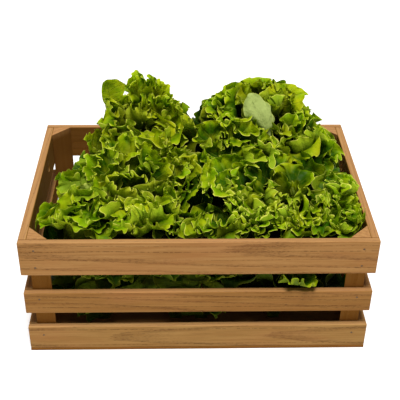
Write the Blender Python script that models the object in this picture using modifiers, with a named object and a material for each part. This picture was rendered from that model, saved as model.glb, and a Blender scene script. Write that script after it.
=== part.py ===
"""Slatted wooden harvest crate holding four upright heads of leaf lettuce.

Metres, +Z up. +X runs along the crate's length and -Y is its front. The origin is on the ground, in the middle of
the footprint. Three-cornered posts stand in the corners, slats are nailed to them all round, and thin boards
nailed up from below make the floor. Each head of lettuce stands loose on its cut stem.
"""

from math import atan2, cos, hypot, pi, sin

import bmesh
import bpy
from mathutils import Matrix, Vector

# Overall size of the crate.
CRATE_LENGTH = 0.450
CRATE_DEPTH = 0.300
CRATE_HEIGHT = 0.180

# Slats, from the rim down. What they leave of the height is shared between the two gaps.
SLAT_THICKNESS = 0.0085
END_SLAT_THICKNESS = 0.0105
TOP_SLAT_HEIGHT = 0.051
MIDDLE_SLAT_HEIGHT = 0.034
BOTTOM_SLAT_HEIGHT = 0.037
UPPER_GAP_SHARE = 0.54

# Corner posts: a square bar sawn in half from corner to corner.
POST_LEG = 0.025

# Floor boards, nailed under the slats and flush with them outside.
FLOOR_THICKNESS = 0.004
FLOOR_BOARD_COUNT = 4
FLOOR_BOARD_GAP = 0.006

# Rope holes through the top slat at each end.
ROPE_HOLE_DIAMETER = 0.012
ROPE_HOLE_SPACING = 0.132
ROPE_HOLE_SIDES = 24

# Brads: small wire nails, sunk a little below the wood.
BRAD_LENGTH = 0.018
BRAD_SHANK_DIAMETER = 0.0016
BRAD_HEAD_DIAMETER = 0.0026
BRAD_HEAD_THICKNESS = 0.0010
BRAD_POINT_LENGTH = 0.0020
BRAD_SUNK = 0.0004
BRAD_FROM_CORNER = 0.0090
BRAD_SIDES = 12

# Lettuce heads, two rows of two. The back row is propped up taller.
BACK_HEADS_ABOVE_RIM = 0.108
FRONT_HEADS_ABOVE_RIM = 0.062
HEAD_WIDEST_AT = 0.58
HEAD_TO_WALL = 0.004
HEAD_TO_HEAD = 0.006
HEAD_TURN = 0.92 * pi
HEAD_RINGS = 12
HEAD_SIDES = 28

# What all the wood shares.
EDGE_ROUNDING = 0.0012
POST_EDGE_ROUNDING = 0.0006
FLOOR_EDGE_ROUNDING = 0.0006
FIT_GAP = 0.0003
MERGE_DISTANCE = 1e-6

# Worked out from the values above.
HALF_LENGTH = CRATE_LENGTH / 2
HALF_DEPTH = CRATE_DEPTH / 2
INNER_HALF_LENGTH = HALF_LENGTH - END_SLAT_THICKNESS
INNER_HALF_DEPTH = HALF_DEPTH - SLAT_THICKNESS
FRAME_FOOT = FLOOR_THICKNESS + FIT_GAP
BOTH_GAPS = CRATE_HEIGHT - FRAME_FOOT - TOP_SLAT_HEIGHT - MIDDLE_SLAT_HEIGHT - BOTTOM_SLAT_HEIGHT
UPPER_GAP = BOTH_GAPS * UPPER_GAP_SHARE
TOP_SLAT_MIDDLE = CRATE_HEIGHT - TOP_SLAT_HEIGHT / 2
MIDDLE_SLAT_MIDDLE = CRATE_HEIGHT - TOP_SLAT_HEIGHT - UPPER_GAP - MIDDLE_SLAT_HEIGHT / 2
BOTTOM_SLAT_MIDDLE = FRAME_FOOT + BOTTOM_SLAT_HEIGHT / 2
FLOOR_BOARD_WIDTH = (CRATE_DEPTH - (FLOOR_BOARD_COUNT - 1) * FLOOR_BOARD_GAP) / FLOOR_BOARD_COUNT
FLOOR_BOARD_MIDDLES = [
    -HALF_DEPTH + FLOOR_BOARD_WIDTH / 2 + number * (FLOOR_BOARD_WIDTH + FLOOR_BOARD_GAP)
    for number in range(FLOOR_BOARD_COUNT)
]

# Each level: its name, the middle of its slats, their height, and where the brads of its side slats and of its end
# slats are, as shares of that height from the middle. The two kinds cross inside a post, so their heights differ.
LEVELS = (
    ("top", TOP_SLAT_MIDDLE, TOP_SLAT_HEIGHT, (0.26, -0.26), 0.0),
    ("middle", MIDDLE_SLAT_MIDDLE, MIDDLE_SLAT_HEIGHT, (0.18,), -0.18),
    ("bottom", BOTTOM_SLAT_MIDDLE, BOTTOM_SLAT_HEIGHT, (0.12,), -0.24),
)
SIDES = {"front": -1, "back": 1}
ENDS = {"left": -1, "right": 1}

WOOD = (0.38, 0.19, 0.075)
FLOOR_WOOD = (0.30, 0.15, 0.06)
STEEL = (0.20, 0.19, 0.18)
LEAF_GREEN = (0.16, 0.30, 0.02)


def clear_scene():
    for old in list(bpy.data.objects):
        bpy.data.objects.remove(old, do_unlink=True)


def new_collection(name):
    made = bpy.data.collections.new(name)
    bpy.context.scene.collection.children.link(made)
    return made


def new_material(name, colour, roughness, metallic=0.0):
    material = bpy.data.materials.new(name)
    material.use_nodes = True
    shader = material.node_tree.nodes["Principled BSDF"]
    shader.inputs["Base Color"].default_value = (*colour, 1.0)
    shader.inputs["Roughness"].default_value = roughness
    shader.inputs["Metallic"].default_value = metallic
    return material


def add_object(name, bm, collection, material=None):
    """A bmesh made into a named object, with its normals facing out."""
    bmesh.ops.recalc_face_normals(bm, faces=bm.faces)
    mesh = bpy.data.meshes.new(name)
    bm.to_mesh(mesh)
    bm.free()
    made = bpy.data.objects.new(name, mesh)
    collection.objects.link(made)
    if material:
        mesh.materials.append(material)
    return made


def box_bmesh(length, depth, height):
    bm = bmesh.new()
    bmesh.ops.create_cube(bm, size=1.0)
    bmesh.ops.scale(bm, vec=(length, depth, height), verts=bm.verts)
    return bm


def round_edges(piece, width):
    bevel = piece.modifiers.new("rounded_edges", "BEVEL")
    bevel.width = width
    bevel.segments = 2
    bevel.limit_method = "ANGLE"
    bevel.angle_limit = pi / 6


def cut_with(piece, cutters):
    """Cuts every object of a collection out of the piece."""
    cut = piece.modifiers.new("holes", "BOOLEAN")
    cut.operation = "DIFFERENCE"
    cut.operand_type = "COLLECTION"
    cut.collection = cutters
    cut.solver = "EXACT"


def hide_cutter(cutter):
    cutter.hide_render = True
    cutter.display_type = "WIRE"


def turned_bmesh(profile, sides):
    """A solid turned about its own Z axis. The profile is (radius, height) from the top down, on the axis at both
    ends."""
    bm = bmesh.new()
    line = [bm.verts.new((radius, 0.0, height)) for radius, height in profile]
    edges = [bm.edges.new(pair) for pair in zip(line, line[1:])]
    bmesh.ops.spin(
        bm,
        geom=[*line, *edges],
        cent=(0, 0, 0),
        axis=(0, 0, 1),
        angle=2 * pi,
        steps=sides,
        use_merge=True,
        use_duplicate=False,
    )
    bmesh.ops.remove_doubles(bm, verts=bm.verts, dist=MERGE_DISTANCE)
    return bm


def brad_profile(grown):
    """Head, shank and point of a brad along its own -Z, from its head's top. `grown` makes the hole that it sits
    in, which also reaches out past the surface of the wood."""
    head, shank = BRAD_HEAD_DIAMETER / 2 + grown, BRAD_SHANK_DIAMETER / 2 + grown
    top = BRAD_SUNK + EDGE_ROUNDING if grown else 0.0
    under_head = -BRAD_HEAD_THICKNESS - grown
    tip = -BRAD_LENGTH - grown
    return (
        (0.0, top),
        (head, top),
        (head, under_head),
        (shank, under_head),
        (shank, tip + BRAD_POINT_LENGTH),
        (0.0, tip),
    )


def place_along(piece, at, outward):
    """Puts a turned piece's top at a point, with its +Z along `outward`."""
    piece.matrix_world = Matrix.Translation(at) @ outward.to_track_quat("Z", "Y").to_matrix().to_4x4()


def add_brad(name, surface, outward, parts, cutters, steel):
    """A brad driven into the wood from a point on its surface, and the hole that both pieces of wood get."""
    at = surface - outward * BRAD_SUNK
    brad = add_object(name, turned_bmesh(brad_profile(0.0), BRAD_SIDES), parts, steel)
    place_along(brad, at, outward)
    hole = add_object(name + "_hole", turned_bmesh(brad_profile(FIT_GAP), BRAD_SIDES), cutters)
    place_along(hole, at, outward)
    hide_cutter(hole)


def add_corner_post(name, end, side, holes, parts, wood):
    """Half of a square bar, whose sawn face looks diagonally into the crate."""
    height = CRATE_HEIGHT - FRAME_FOOT
    bm = box_bmesh(POST_LEG, POST_LEG, height)
    inward = Vector((-end, -side, 0.0)).normalized()
    bmesh.ops.bisect_plane(
        bm,
        geom=[*bm.verts, *bm.edges, *bm.faces],
        plane_co=(0, 0, 0),
        plane_no=inward,
        clear_outer=True,
    )
    bmesh.ops.holes_fill(bm, edges=bm.edges)
    post = add_object(name, bm, parts, wood)
    from_wall = FIT_GAP + POST_LEG / 2
    x = end * (INNER_HALF_LENGTH - from_wall)
    y = side * (INNER_HALF_DEPTH - from_wall)
    post.location = (x, y, FRAME_FOOT + height / 2)
    round_edges(post, POST_EDGE_ROUNDING)
    cut_with(post, holes)


def add_rope_holes(cutters):
    """Cutters across both ends, one through each pair of facing holes."""
    for row in (-1, 1):
        bm = bmesh.new()
        radius = ROPE_HOLE_DIAMETER / 2
        bmesh.ops.create_cone(
            bm,
            cap_ends=True,
            segments=ROPE_HOLE_SIDES,
            radius1=radius,
            radius2=radius,
            depth=CRATE_LENGTH + END_SLAT_THICKNESS,
        )
        cutter = add_object(f"rope_hole_{row}", bm, cutters)
        cutter.location = (0.0, row * ROPE_HOLE_SPACING / 2, TOP_SLAT_MIDDLE)
        cutter.rotation_euler = (0.0, pi / 2, 0.0)
        hide_cutter(cutter)


def add_slat(name, length, depth, height, at, cutter_sets, parts, wood):
    slat = add_object(name, box_bmesh(length, depth, height), parts, wood)
    slat.location = at
    round_edges(slat, EDGE_ROUNDING)
    for cutters in cutter_sets:
        cut_with(slat, cutters)


def add_slats(level, middle, height, holes, parts, wood):
    """The four slats at one level. The long ones cover the ends of the short ones."""
    for side_name, side in SIDES.items():
        at = (0.0, side * (HALF_DEPTH - SLAT_THICKNESS / 2), middle)
        name = f"{side_name}_slat_{level}"
        cutter_sets = [holes[side_name, end_name] for end_name in ENDS]
        add_slat(name, CRATE_LENGTH, SLAT_THICKNESS, height, at, cutter_sets, parts, wood)
    end_length = 2 * (INNER_HALF_DEPTH - FIT_GAP)
    for end_name, end in ENDS.items():
        name = f"{end_name}_end_slat_{level}"
        at = (end * (HALF_LENGTH - END_SLAT_THICKNESS / 2), 0.0, middle)
        cutter_sets = [holes[side_name, end_name] for side_name in SIDES]
        if level == "top":
            cutter_sets.append(holes["rope"])
        if level == "bottom":
            cutter_sets.append(holes["floor"])
        add_slat(name, END_SLAT_THICKNESS, end_length, height, at, cutter_sets, parts, wood)


def add_brads(level, middle, height, side_shares, end_share, holes, parts, steel):
    """The brads that hold one level's slats to the four posts."""
    for side_name, side in SIDES.items():
        for end_name, end in ENDS.items():
            cutters = holes[side_name, end_name]
            along = end * (INNER_HALF_LENGTH - BRAD_FROM_CORNER)
            for number, share in enumerate(side_shares, 1):
                name = f"brad_{side_name}_{end_name}_{level}_{number}"
                at = Vector((along, side * HALF_DEPTH, middle + share * height))
                add_brad(name, at, Vector((0, side, 0)), parts, cutters, steel)
            name = f"brad_{end_name}_end_{side_name}_{level}"
            across = side * (INNER_HALF_DEPTH - BRAD_FROM_CORNER)
            at = Vector((end * HALF_LENGTH, across, middle + end_share * height))
            add_brad(name, at, Vector((end, 0, 0)), parts, cutters, steel)


def add_floor(holes, parts, wood, steel):
    """Boards along the crate, nailed up into the end slats, with narrow gaps for air and drips."""
    for number, y in enumerate(FLOOR_BOARD_MIDDLES, 1):
        for end_name, end in ENDS.items():
            at = Vector((end * (HALF_LENGTH - END_SLAT_THICKNESS / 2), y, 0.0))
            add_brad(f"brad_floor_{number}_{end_name}", at, Vector((0, 0, -1)), parts, holes["floor"], steel)
        board = add_object(
            f"floor_board_{number}", box_bmesh(CRATE_LENGTH, FLOOR_BOARD_WIDTH, FLOOR_THICKNESS), parts, wood
        )
        board.location = (0.0, y, FLOOR_THICKNESS / 2)
        round_edges(board, FLOOR_EDGE_ROUNDING)
        cut_with(board, holes["floor"])


def head_profile():
    """Outline of a head from the crown down to the foot, as shares of its spread and of its height."""
    rings = []
    for number in range(HEAD_RINGS + 1):
        turn = pi / 2 - number / HEAD_RINGS * HEAD_TURN
        reach = HEAD_WIDEST_AT if turn < 0 else 1 - HEAD_WIDEST_AT
        rings.append((abs(cos(turn)) ** 0.75, HEAD_WIDEST_AT + reach * sin(turn)))
    rings[0] = (0.0, 1.0)
    return rings


def square_shouldered(angle, half_length, half_depth):
    """How far an outline between an ellipse and a rectangle reaches, along x and y, at an angle."""
    along, across = cos(angle), sin(angle)
    x = half_length * abs(along) ** 0.55 * (1 if along > 0 else -1)
    y = half_depth * abs(across) ** 0.55 * (1 if across > 0 else -1)
    return x, y


def add_head(name, middle, half_length, half_depth, top, parts, leaf):
    """A head: flat at its cut foot, spreading to square shoulders, with a domed crown."""
    foot = FLOOR_THICKNESS + FIT_GAP
    profile = head_profile()
    lowest = profile[-1][1]
    bm = turned_bmesh([*profile, (0.0, lowest)], HEAD_SIDES)
    for vert in bm.verts:
        x, y, share = vert.co
        reach_x, reach_y = square_shouldered(atan2(y, x), half_length, half_depth)
        spread = hypot(x, y)
        level = (share - lowest) / (1 - lowest)
        vert.co = (reach_x * spread, reach_y * spread, foot + level * (top - foot))
    head = add_object(name, bm, parts, leaf)
    head.location = middle


def add_lettuce(parts, leaf):
    """Four heads. Each keeps to its own quarter of the crate, so that any one lifts straight out."""
    half_length = (INNER_HALF_LENGTH - HEAD_TO_WALL - HEAD_TO_HEAD / 2) / 2
    half_depth = (INNER_HALF_DEPTH - HEAD_TO_WALL - HEAD_TO_HEAD / 2) / 2
    for side_name, side in SIDES.items():
        top = CRATE_HEIGHT + (BACK_HEADS_ABOVE_RIM if side > 0 else FRONT_HEADS_ABOVE_RIM)
        for end_name, end in ENDS.items():
            name = f"lettuce_{side_name}_{end_name}"
            middle = (end * (HEAD_TO_HEAD / 2 + half_length), side * (HEAD_TO_HEAD / 2 + half_depth), 0.0)
            add_head(name, middle, half_length, half_depth, top, parts, leaf)


def shade(parts):
    for piece in parts.objects:
        piece.data.shade_smooth()
        piece.data.set_sharp_from_angle(angle=pi / 5)


def main():
    clear_scene()
    parts = new_collection("harvest_crate")
    cutters = new_collection("cutters")
    wood = new_material("crate_wood", WOOD, 0.6)
    floor_wood = new_material("floor_wood", FLOOR_WOOD, 0.7)
    steel = new_material("brad_steel", STEEL, 0.4, metallic=1.0)
    leaf = new_material("lettuce_leaf", LEAF_GREEN, 0.5)

    corners = [(side_name, end_name) for side_name in SIDES for end_name in ENDS]
    holes = {}
    for key in (*corners, "rope", "floor"):
        holes[key] = bpy.data.collections.new("holes")
        cutters.children.link(holes[key])
    add_rope_holes(holes["rope"])
    add_floor(holes, parts, floor_wood, steel)
    for level, middle, height, side_shares, end_share in LEVELS:
        add_brads(level, middle, height, side_shares, end_share, holes, parts, steel)
        add_slats(level, middle, height, holes, parts, wood)
    for side_name, end_name in corners:
        name = f"post_{side_name}_{end_name}"
        add_corner_post(name, ENDS[end_name], SIDES[side_name], holes[side_name, end_name], parts, wood)
    add_lettuce(parts, leaf)
    shade(parts)


main()
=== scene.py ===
# %% [markdown]
# # A harvest crate full of leaf lettuce
#
# The crate is a frame of sawn slats nailed to four corner posts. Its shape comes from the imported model,
# so here it only gets its wood, and its nails get their steel. The lettuce comes as four plain solids.
# Those could be given a bumpy surface, but no surface pattern looks like leaves from the side, so each
# leaf is modelled by itself and the leaves take the place of the solids.

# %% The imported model
from math import atan2, cos, pi, radians, sin

import bmesh
import bpy
import numpy as np
from mathutils import Matrix, Vector


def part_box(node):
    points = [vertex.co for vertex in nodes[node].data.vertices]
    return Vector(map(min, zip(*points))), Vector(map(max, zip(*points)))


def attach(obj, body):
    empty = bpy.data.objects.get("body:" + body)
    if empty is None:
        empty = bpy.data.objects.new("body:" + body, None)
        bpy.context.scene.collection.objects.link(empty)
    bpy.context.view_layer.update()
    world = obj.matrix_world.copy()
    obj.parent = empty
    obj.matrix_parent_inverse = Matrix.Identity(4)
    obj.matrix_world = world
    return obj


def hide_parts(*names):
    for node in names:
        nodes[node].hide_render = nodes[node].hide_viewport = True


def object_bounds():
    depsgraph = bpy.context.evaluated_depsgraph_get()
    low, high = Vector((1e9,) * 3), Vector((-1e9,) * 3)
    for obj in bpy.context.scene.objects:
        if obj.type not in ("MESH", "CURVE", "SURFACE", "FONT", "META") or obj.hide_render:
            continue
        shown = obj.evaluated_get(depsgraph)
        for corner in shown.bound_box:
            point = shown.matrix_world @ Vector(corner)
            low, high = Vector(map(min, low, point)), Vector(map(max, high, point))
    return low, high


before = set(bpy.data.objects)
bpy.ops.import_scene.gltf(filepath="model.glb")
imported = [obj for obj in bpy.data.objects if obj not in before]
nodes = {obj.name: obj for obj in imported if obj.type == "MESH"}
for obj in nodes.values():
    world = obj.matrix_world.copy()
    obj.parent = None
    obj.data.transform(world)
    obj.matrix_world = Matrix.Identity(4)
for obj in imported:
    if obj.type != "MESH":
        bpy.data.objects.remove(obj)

cad_low, cad_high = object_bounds()
slats = [name for name in nodes if "_slat_" in name]
print(len(nodes), "nodes,", len(slats), "of them slats")

# %% [markdown]
# Every place below is worked out from the crate itself: its rim, its floor, and the inner faces that hold
# the leaves in. Typed-in places would do too, but they would be wrong as soon as the crate changed.

# %% Measures read from the crate
front_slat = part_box("front_slat_top")
end_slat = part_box("right_end_slat_top")
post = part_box("post_front_right")
RIM = front_slat[1].z
INNER_X = end_slat[0].x
INNER_Y = -front_slat[1].y
POST_LEG = post[1].x - post[0].x
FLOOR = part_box("floor_board_1")[1].z
print(f"rim {RIM:.3f}, inside {2 * INNER_X:.3f} x {2 * INNER_Y:.3f}, floor {FLOOR:.4f}")

# %% [markdown]
# ## Camera
#
# A short telephoto on a tripod, about a metre away, looks down at the crate from in front. The camera
# could be aimed with a Track To constraint, but that leaves its roll to chance. So its three turns are
# put together as matrices: first the small roll about the lens, then the tip down, then the swing to the
# right.

# %% Camera
CAMERA_PLACE = (-0.0275, -0.9574, 0.7913)
LOOKS_DOWN = radians(34.15)
SWINGS_RIGHT = radians(1.91)
ROLL = radians(0.84)
LENS = 73.92
SENSOR_WIDTH = 36

camera = bpy.data.objects.new("camera", bpy.data.cameras.new("camera"))
bpy.context.scene.collection.objects.link(camera)
camera.data.lens = LENS
camera.data.sensor_width = SENSOR_WIDTH
turn = Matrix.Rotation(-SWINGS_RIGHT, 4, "Z") @ Matrix.Rotation(pi / 2 - LOOKS_DOWN, 4, "X")
camera.matrix_world = Matrix.Translation(CAMERA_PLACE) @ turn @ Matrix.Rotation(ROLL, 4, "Z")
bpy.context.scene.camera = camera
print("lens", camera.data.lens, "mm")

# %% [markdown]
# ## Light and floor
#
# A white sweep under a very soft top light. The world gives an even white fill, and the top light makes
# the upper faces bright and leaves the hollows between the leaves dark. A Sun lamp is used because its
# light is the same over the whole heap, where an area lamp this near would fade from one side to the
# other.

# %% World and top light
FILL_STRENGTH = 0.24
TOP_LIGHT_DIRECTION = (-0.04, 0.26, -1.0)
TOP_LIGHT_SPREAD = radians(20)
TOP_LIGHT_STRENGTH = 4.1

bpy.context.scene.view_settings.view_transform = "Standard"
world = bpy.data.worlds.new("studio")
bpy.context.scene.world = world
world.use_nodes = True
background = world.node_tree.nodes["Background"]
background.inputs["Color"].default_value = (1.0, 1.0, 1.0, 1.0)
background.inputs["Strength"].default_value = FILL_STRENGTH

lamp = bpy.data.lights.new("top_light", "SUN")
lamp.angle = TOP_LIGHT_SPREAD
lamp.energy = TOP_LIGHT_STRENGTH
top_light = bpy.data.objects.new("top_light", lamp)
bpy.context.scene.collection.objects.link(top_light)
top_light.rotation_euler = Vector(TOP_LIGHT_DIRECTION).to_track_quat("-Z", "Y").to_euler()
print("top light", lamp.energy, "over a fill of", FILL_STRENGTH)

# %% Floor
FLOOR_RADIUS = 30.0
BELOW_CRATE = 0.0005


def new_object(name, bm):
    """A bmesh made into an object of the scene."""
    mesh = bpy.data.meshes.new(name)
    bm.to_mesh(mesh)
    bm.free()
    made = bpy.data.objects.new(name, mesh)
    bpy.context.scene.collection.objects.link(made)
    return made


bm = bmesh.new()
bmesh.ops.create_circle(bm, cap_ends=True, segments=96, radius=FLOOR_RADIUS)
floor = new_object("floor", bm)
floor.location.z = cad_low[2] - BELOW_CRATE
print("floor", 2 * FLOOR_RADIUS, "m across")

# %% [markdown]
# ## Shader arithmetic
#
# Patterns are sums and products of simple fields. Nodes could be added and linked one by one, but then
# the sum can't be seen for the links. This small class lets it be written as a plain expression: each
# operator adds a Math node, and `add` adds a node of any other kind.

# %% Shader helper
class Field:
    """One output of a shader node, which can be used in arithmetic."""

    def __init__(self, tree, socket):
        self.tree = tree
        self.socket = socket

    def math(self, operation, *others, clamp=False):
        settings = {"operation": operation, "use_clamp": clamp}
        return add(self.tree, "Math", settings, dict(enumerate((self, *others))))

    def __add__(self, other):
        return self.math("ADD", other)

    def __sub__(self, other):
        return self.math("SUBTRACT", other)

    def __mul__(self, other):
        return self.math("MULTIPLY", other)

    def __rsub__(self, other):
        return add(self.tree, "Math", {"operation": "SUBTRACT"}, {0: other, 1: self})

    __radd__ = __add__
    __rmul__ = __mul__

    def step(self, low, high):
        """0 below `low`, 1 above `high`, smooth between; the other way round if `low` is the larger."""
        up = low < high
        return add(self.tree, "MapRange", {"interpolation_type": "SMOOTHSTEP"}, {
            "Value": self,
            "From Min": min(low, high), "From Max": max(low, high),
            "To Min": 0.0 if up else 1.0, "To Max": 1.0 if up else 0.0,
        })


def add(tree, kind, settings=None, sockets=None, output=0):
    """Adds a node: its settings first, then a value or a link for each named or numbered socket."""
    node = tree.nodes.new("ShaderNode" + kind)
    for name, value in (settings or {}).items():
        setattr(node, name, value)
    for name, value in (sockets or {}).items():
        if isinstance(value, Field):
            tree.links.new(value.socket, node.inputs[name])
        elif value is not None:
            node.inputs[name].default_value = value
    return Field(tree, node.outputs[output])


def blend(tree, share, first, second, mode="MIX"):
    """Mixes two colours, which are Fields or (r, g, b)."""
    node = tree.nodes.new("ShaderNodeMix")
    node.data_type = "RGBA"
    node.blend_type = mode
    for index, value in ((0, share), (6, first), (7, second)):
        if isinstance(value, Field):
            tree.links.new(value.socket, node.inputs[index])
        else:
            node.inputs[index].default_value = value if index == 0 else (*value, 1.0)
    return Field(tree, node.outputs[2])


def noise(tree, vector, scale, detail=2.0, roughness=0.5):
    """Cloudy noise, finer with a larger scale."""
    sockets = {"Vector": vector, "Scale": scale, "Detail": detail, "Roughness": roughness}
    return add(tree, "TexNoise", {}, sockets)


def mapped(tree, vector, move=(0.0, 0.0, 0.0), turn=(0.0, 0.0, 0.0), scale=(1.0, 1.0, 1.0)):
    """Coordinates scaled along each axis, turned and moved."""
    return add(tree, "Mapping", {}, {"Vector": vector, "Location": move, "Rotation": turn, "Scale": scale})


def bumped(tree, height, distance, strength=1.0):
    """Normals of a surface with fine relief."""
    return add(tree, "Bump", {}, {"Height": height, "Distance": distance, "Strength": strength})


def new_material(name):
    """An empty material and its node tree."""
    material = bpy.data.materials.new(name)
    material.use_nodes = True
    material.node_tree.nodes.clear()
    return material, material.node_tree


def finish_material(tree, shader):
    """Joins the last shader to the material's output."""
    output = tree.nodes.new("ShaderNodeOutputMaterial")
    tree.links.new(shader.socket, output.inputs["Surface"])


# %% [markdown]
# The floor is matte white paper. A single white would do, but the faintest mottling keeps it from looking
# computed.

# %% Floor material
material, tree = new_material("white_sweep")
place = add(tree, "TexCoord", output="Object")
mottle = noise(tree, place, 30.0)
paper = add(tree, "BsdfPrincipled", {}, {
    "Base Color": blend(tree, mottle, (0.93, 0.93, 0.93), (0.97, 0.97, 0.97)),
    "Roughness": 0.9,
})
finish_material(tree, paper)
floor.data.materials.append(material)
print("floor of", material.name)

# %% [markdown]
# ## Wood
#
# Each board is cut from a log. A picture of planks would repeat from slat to slat and would end at their
# edges, so the log itself is worked out. Its rings are cylinders round a line that runs nearly along the
# board. The distance to that line, cut into bands, draws straight lines where the board is far from the
# middle of the log and nested arches where the line comes up to its face. Fine pores and streaks run
# along the grain. Every board gets its own log line and its own tone.

# %% Colours of the wood
WOOD_PALE = (0.400, 0.205, 0.066)
WOOD_MIDDLE = (0.325, 0.150, 0.042)
WOOD_LINE = (0.150, 0.056, 0.013)
WOOD_PORE = (0.085, 0.030, 0.008)
WOOD_WARM = (0.360, 0.150, 0.052)
WOOD_SHADED_INSIDE = (0.165, 0.060, 0.0035)
WOOD_END_SHADED_INSIDE = (0.300, 0.138, 0.012)
WOOD_TOP_LIT = (0.620, 0.360, 0.180)
INSIDE_SHADE = 0.80
TOP_LIT_SHARE = 0.17
ALONG = {"x": (0.0, 0.0, 0.0), "y": (0.0, 0.0, -pi / 2), "z": (0.0, pi / 2, 0.0)}

# %% [markdown]
# The faces that look into the crate get painted shade, for the shade inside the crate: the posts below the
# rim and the floor boards all over. On the end slats the painted shade is a little more golden. A board's
# faces aren't separate meshes, so the inner ones are found by their place. A few thin dark dashes run the
# length of a slat, where its saw left marks.

# %% Painted shade on the inner faces, and dark lines
POST_SHADE_BELOW_RIM = 0.012
POST_SHADE_EDGE = 0.010
SLAT_SHADE_DEPTH = 0.0013
SHADE_FROM = 0.0003


def inner_shade_mask(tree, place, name):
    """How much painted shade a face takes: 1 on the faces that look into the crate and 0 on the others. A
    floor board takes it all over.
    """
    if name.startswith("floor_board_"):
        return 1.0
    if name.startswith("post_"):
        axis, start, edge = 2, RIM - POST_SHADE_BELOW_RIM, POST_SHADE_EDGE
    elif "_end_" in name:
        axis, start, edge = 0, INNER_X, SLAT_SHADE_DEPTH
    else:
        axis, start, edge = 1, INNER_Y, SLAT_SHADE_DEPTH
    across = add(tree, "SeparateXYZ", {}, {"Vector": place}, output=axis)
    return across.math("ABSOLUTE").step(start + edge, start + SHADE_FROM)


def dark_lines(tree, place, low, high, wander, lines):
    """Thin lines at given shares of a board's height, each with its half width and a little wavy."""
    z = add(tree, "SeparateXYZ", {}, {"Vector": place}, output=2)
    share = (z - low.z) * (1 / (high.z - low.z)) + wander
    drawn = 0.0
    for at, half in lines:
        drawn = drawn + (share - at).math("ABSOLUTE").step(half, half * 0.3)
    return drawn.math("MINIMUM", 1.0)


# %% [markdown]
# The wood is put together from the broad to the fine: the tone of the early wood, the dark late wood of
# each ring, fibres, pores, then the board's own tint. Noise drawn out along the grain gives all of them,
# and the same fields give the relief. The upward faces are painted a little paler, as painted light from
# above.

# %% Wood material
def wood_material(name, along, seed, log_middle, tilt, ring_width, tint, lines):
    """Wood whose grain runs along one axis. `log_middle` is how far the middle of the log is from the board's
    own middle, across the grain, and `tilt` is how fast it moves off along the board."""
    rng = np.random.default_rng(seed)
    material, tree = new_material(name)
    place = add(tree, "TexCoord", output="Object")
    low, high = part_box(name)
    centred = mapped(tree, place, move=tuple(-(low + high) / 2))
    grain = mapped(tree, centred, turn=ALONG[along])
    own = mapped(tree, grain, move=tuple(rng.uniform(-3, 3, 3)))
    length, side, rise = (add(tree, "SeparateXYZ", {}, {"Vector": grain}, output=axis) for axis in range(3))

    def drawn_out(lengthways, crossways, detail, roughness=0.5):
        scaled = mapped(tree, own, scale=(lengthways, crossways, crossways))
        return noise(tree, scaled, 1.0, detail, roughness)

    wander = drawn_out(5.0, 22.0, 3.0) - 0.5
    depth = side - log_middle[0] - length * tilt[0]
    height = rise - log_middle[1] - length * tilt[1] + wander * 0.010
    distance = (depth * depth + height * height).math("SQRT")
    flutter = drawn_out(14.0, 160.0, 2.0) - 0.5
    ring = ((distance + flutter * 0.0016) * (1 / ring_width)).math("FRACT")
    late = ring.step(0.62, 0.95) * ring.step(1.0, 0.95)
    fibre = drawn_out(30.0, 900.0, 3.0, 0.6)
    streak = drawn_out(8.0, 240.0, 2.0)
    pore = drawn_out(190.0, 1300.0, 2.0).step(0.54, 0.62) * (0.12 + ring.step(0.55, 0.90) * 0.88)
    broad = drawn_out(9.0, 30.0, 2.0)

    colour = blend(tree, streak.step(0.30, 0.72), WOOD_PALE, WOOD_MIDDLE)
    colour = blend(tree, late * (0.10 + 0.50 * broad), colour, WOOD_LINE)
    colour = blend(tree, fibre.step(0.45, 0.75) * 0.34, colour, WOOD_LINE)
    colour = blend(tree, pore * 0.50, colour, WOOD_PORE)
    if lines:
        dash = drawn_out(260.0, 20.0, 2.0).step(0.42, 0.58)
        line = dark_lines(tree, place, low, high, wander * 0.10, lines)
        colour = blend(tree, line * (0.18 + dash * 0.50), colour, WOOD_PORE)
    colour = blend(tree, 1.0, colour, tint, "MULTIPLY")
    colour = blend(tree, broad.step(0.45, 0.75) * 0.30, colour, WOOD_WARM)
    # painted shade: faces inside the crate, posts below the rim and floor boards are darkened for the shade
    # inside the crate
    inner_shade = inner_shade_mask(tree, place, name)
    colour = blend(tree, inner_shade * INSIDE_SHADE, colour, WOOD_END_SHADED_INSIDE if "_end_" in name else WOOD_SHADED_INSIDE)
    # painted light: faces that look up are made paler, for the light from above
    upward = add(tree, "SeparateXYZ", {}, {"Vector": add(tree, "NewGeometry", output="Normal")}, output=2)
    colour = blend(tree, upward.step(0.6, 0.9) * TOP_LIT_SHARE, colour, WOOD_TOP_LIT)

    shader = add(tree, "BsdfPrincipled", {}, {
        "Base Color": colour,
        "Roughness": 0.62 + fibre * 0.22 + inner_shade * 0.2,
        "Normal": bumped(tree, fibre * 0.5 - pore * 0.6 - late * 0.5, 0.00025, 0.7),
        "IOR": 1.18,
    })
    finish_material(tree, shader)
    return material


# %% A log for every board
def put_on(node, material):
    """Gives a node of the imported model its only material."""
    mesh = nodes[node].data
    mesh.materials.clear()
    mesh.materials.append(material)


def grain_axis(node):
    """The axis that a board is longest along."""
    low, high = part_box(node)
    size = high - low
    return "xyz"[max(range(3), key=lambda axis: size[axis])]


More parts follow.
